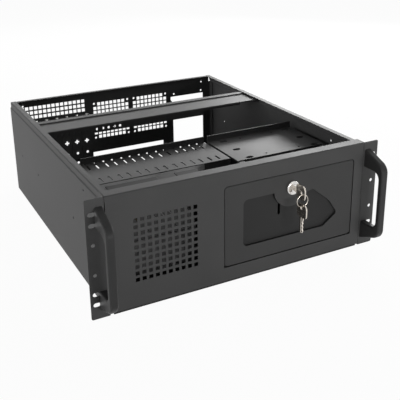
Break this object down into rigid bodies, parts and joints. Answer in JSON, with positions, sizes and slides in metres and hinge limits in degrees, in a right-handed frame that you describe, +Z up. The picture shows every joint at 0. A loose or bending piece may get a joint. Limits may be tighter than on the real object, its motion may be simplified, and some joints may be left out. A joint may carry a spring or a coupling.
{
  "type": "empty rackmount server case",
  "caption": "Lidless rackmount computer case of folded black steel with a locking front door, vent grid, rack handles, drive cages and a perforated rear wall.",
  "frame": {"origin": "on the flat bottom, under the middle of the bounding box", "axes": "+Z up, +Y from the front panel to the rear wall, +X to the right seen from the front"},
  "size_m": [0.4826, 0.5504, 0.177],
  "materials": {
    "black_steel": "fine matt black powder coat",
    "door_black": "fine matt black powder coat",
    "handle_black": "satin black coat",
    "zinc_steel": "bright zinc plate",
    "lock_chrome": "polished chrome",
    "key_nickel": "worn nickel plate",
    "black_plastic": "fine matt",
    "led_plastic": "clear tinted lens",
    "standoff_brass": "turned"
  },
  "bodies": {
    "case": {"chassis_tray": "black_steel", "rear_panel": "black_steel", "slot_frame": "black_steel", "slot_cover_1": "black_steel", "slot_cover_2": "black_steel", "slot_cover_3": "black_steel", "slot_cover_4": "black_steel", "slot_cover_5": "black_steel", "slot_cover_6": "black_steel", "slot_cover_7": "black_steel", "slot_cover_screws": "zinc_steel", "front_panel": "black_steel", "door_hinge_pins": "zinc_steel", "left_handle": "handle_black", "right_handle": "handle_black", "handle_screws": "zinc_steel", "crossbar": "black_steel", "drive_cage": "black_steel", "drive_cage_shelf": "black_steel", "bay_cage_left": "black_steel", "bay_cage_right": "black_steel", "bay_cage_top": "black_steel", "bay_cage_floor": "black_steel", "bay_cover_1": "black_steel", "bay_cover_2": "black_steel", "bay_cover_3": "black_steel", "switch_panel": "black_steel", "switch_holder": "black_plastic", "status_leds": "led_plastic", "fan_bracket": "black_steel", "board_standoffs": "standoff_brass"},
    "door": {"front_door": "door_black", "lock_barrel": "lock_chrome", "lock_nut": "zinc_steel"},
    "lock": {"lock_cylinder": "lock_chrome", "lock_cam": "zinc_steel", "cam_screw": "zinc_steel", "lock_key": "key_nickel"},
    "ring": {"key_ring": "key_nickel"},
    "second_key": {"spare_key": "key_nickel"},
    "power": {"power_button": "black_plastic"},
    "reset": {"reset_button": "black_plastic"}
  },
  "joints": [
    {"name": "door_hinge", "type": "hinge", "parent": "case", "child": "door", "pos_m": [0.08, -0.22855, 0.03], "axis": [1, 0, 0], "range_deg": [0, 90]},
    {"name": "lock_turn", "type": "hinge", "parent": "door", "child": "lock", "pos_m": [0.0796, -0.23275, 0.13], "axis": [0, 1, 0], "range_deg": [0, 90]},
    {"name": "ring_swing", "type": "hinge", "parent": "lock", "child": "ring", "pos_m": [0.0796, -0.26075, 0.128], "axis": [1, 0, 0], "range_deg": [-95, 12]},
    {"name": "second_key_swing", "type": "hinge", "parent": "ring", "child": "second_key", "pos_m": [0.0796, -0.26075, 0.1088], "axis": [1, 0, 0], "range_deg": [-45, 8]},
    {"name": "power_press", "type": "slide", "parent": "case", "child": "power", "axis": [0, 1, 0], "range_m": [0, 0.0025], "stiffness_N_per_m": 600, "springref_m": -0.001},
    {"name": "reset_press", "type": "slide", "parent": "case", "child": "reset", "axis": [0, 1, 0], "range_m": [0, 0.0025], "stiffness_N_per_m": 600, "springref_m": -0.001}
  ]
}
